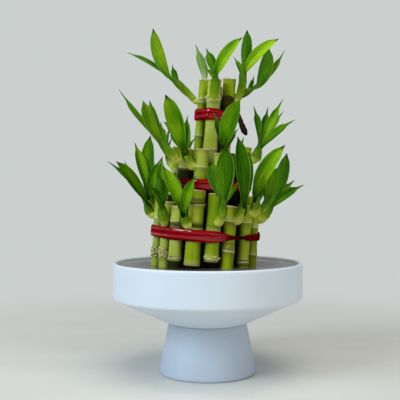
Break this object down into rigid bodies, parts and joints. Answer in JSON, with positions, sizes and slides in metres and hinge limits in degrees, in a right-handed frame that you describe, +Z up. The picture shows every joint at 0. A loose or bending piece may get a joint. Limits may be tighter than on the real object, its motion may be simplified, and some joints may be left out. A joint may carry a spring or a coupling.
{
  "type": "lucky bamboo in a footed bowl",
  "caption": "Lucky bamboo tower: tiers of tied green canes with leafy shoots, standing in water in a round white ceramic bowl on a flared foot.",
  "frame": {"origin": "middle of the stand's foot, on the surface that it stands on", "axes": "+Z up along the stand's axis, -Y towards the front, +X to the right, towards which the bundle leans"},
  "size_m": [0.1522, 0.15, 0.27],
  "materials": {
    "ceramic": "matt white glaze, a cool tint in the shade",
    "water": "clear still water, seen at a low angle",
    "cane": "smooth waxy yellow-green stem with pale node rings",
    "leaf": "glossy mid-green leaf with lengthwise veins",
    "ribbon": "glossy red satin foil ribbon"
  },
  "bodies": {
    "root": {"bowl": "ceramic", "low_cane_01": "cane", "low_cane_02": "cane", "low_cane_03": "cane", "low_cane_04": "cane", "low_cane_05": "cane", "low_cane_06": "cane", "low_cane_07": "cane", "low_cane_08": "cane", "low_cane_09": "cane", "low_cane_10": "cane", "low_cane_11": "cane", "low_cane_12": "cane", "low_cane_13": "cane", "low_cane_14": "cane", "low_cane_15": "cane", "low_cane_16": "cane", "low_shoot_01": "leaf", "low_shoot_02": "leaf", "low_shoot_04": "leaf", "low_shoot_05": "leaf", "low_shoot_06": "leaf", "low_shoot_07": "leaf", "low_shoot_08": "leaf", "low_shoot_09": "leaf", "low_shoot_10": "leaf", "low_shoot_11": "leaf", "low_shoot_12": "leaf", "low_shoot_14": "leaf", "low_shoot_15": "leaf", "low_shoot_16": "leaf", "low_tie": "ribbon", "middle_cane_1": "cane", "middle_cane_2": "cane", "middle_cane_3": "cane", "middle_cane_4": "cane", "middle_cane_5": "cane", "middle_cane_6": "cane", "middle_cane_7": "cane", "middle_cane_8": "cane", "middle_shoot_6": "leaf", "middle_shoot_7": "leaf", "middle_shoot_8": "leaf", "middle_shoot_front_left": "leaf", "middle_shoot_front_right": "leaf", "middle_shoot_left": "leaf", "middle_shoot_right": "leaf", "middle_tie": "ribbon", "stand": "ceramic", "tall_cane_back": "cane", "tall_cane_front": "cane", "tall_cane_left": "cane", "tall_cane_right": "cane", "top_shoot_back": "leaf", "top_shoot_front": "leaf", "top_shoot_left": "leaf", "top_shoot_pale": "leaf", "top_shoot_right": "leaf", "top_tie": "ribbon", "water": "water"}
  },
  "joints": []
}
